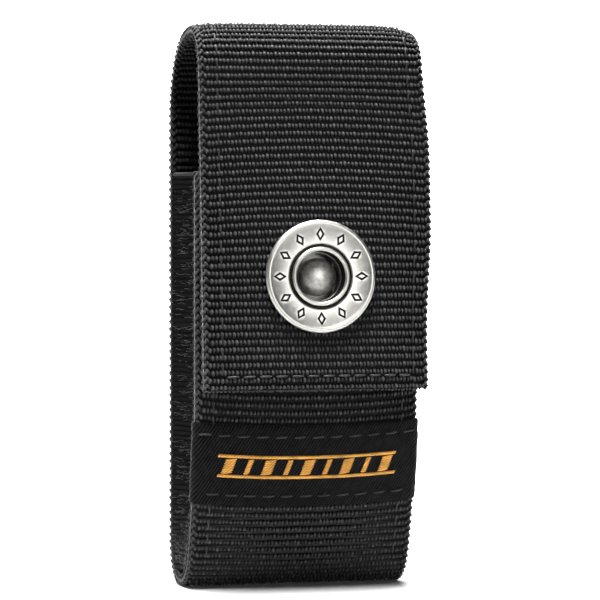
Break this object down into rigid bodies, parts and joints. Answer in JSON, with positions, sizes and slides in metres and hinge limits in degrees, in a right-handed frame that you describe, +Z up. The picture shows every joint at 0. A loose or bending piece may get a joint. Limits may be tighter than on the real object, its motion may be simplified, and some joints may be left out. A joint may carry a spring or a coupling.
{
  "type": "belt sheath for a multi tool",
  "caption": "Doubled webbing belt sheath for a closed multi tool: snap-closed flap over an arched crown, folded side gussets, woven label, belt loop behind",
  "frame": {"origin": "centre of the bounding box in X and Y, at the lowest point of the rounded bottom in Z", "axes": "+Z up along the sheath's length, -Y out of the flap and snap, +Y towards the wearer, +X right as seen from the front"},
  "size_m": [0.0508, 0.0454, 0.125],
  "materials": {
    "webbing": "matte ribbed black webbing",
    "lining": "matte black webbing",
    "gusset": "matte black, slightly fuzzy",
    "label": "black satin twill",
    "label_thread": "satin orange thread",
    "thread": "dark grey polyester thread",
    "loop_webbing": "matte ribbed black webbing",
    "snap_metal": "satin nickel plate",
    "stud_metal": "antique nickel plate",
    "spring_wire": "bright wire"
  },
  "bodies": {
    "pocket": {"pocket_webbing": "webbing", "pocket_lining": "lining", "pocket_mouth_binding": "webbing", "pocket_front_stitching": "thread", "pocket_back_stitching": "thread", "gusset_left": "gusset", "gusset_right": "gusset", "gusset_binding_left": "webbing", "gusset_binding_right": "webbing", "label_patch": "label", "label_motif": "label_thread", "label_stitching": "thread", "belt_loop": "loop_webbing", "loop_stitching_top": "thread", "loop_stitching_bottom": "thread", "snap_stud": "stud_metal", "stud_flange": "stud_metal", "stud_rivet": "snap_metal"},
    "crown": {"crown_webbing": "webbing", "crown_lining": "lining", "crown_stitching": "thread"},
    "flap": {"flap_webbing": "webbing", "flap_lining": "lining", "flap_hem": "webbing", "flap_stitching": "thread", "hem_stitching": "thread", "snap_ring": "snap_metal", "snap_eyelet": "snap_metal", "snap_socket": "snap_metal", "snap_spring": "spring_wire"}
  },
  "joints": [
    {"name": "crown_fold", "type": "hinge", "parent": "pocket", "child": "crown", "pos_m": [0, 0.01572, 0.10435], "axis": [-1, 0, 0], "range_deg": [0, 60]},
    {"name": "flap_lift", "type": "hinge", "parent": "crown", "child": "flap", "pos_m": [0, -0.01452, 0.11568], "axis": [-1, 0, 0], "range_deg": [0, 120], "deforming": ["snap_spring"]}
  ],
  "couplings": [
    {"joint": "flap_lift", "follows": "crown_fold", "ratio": 2}
  ]
}
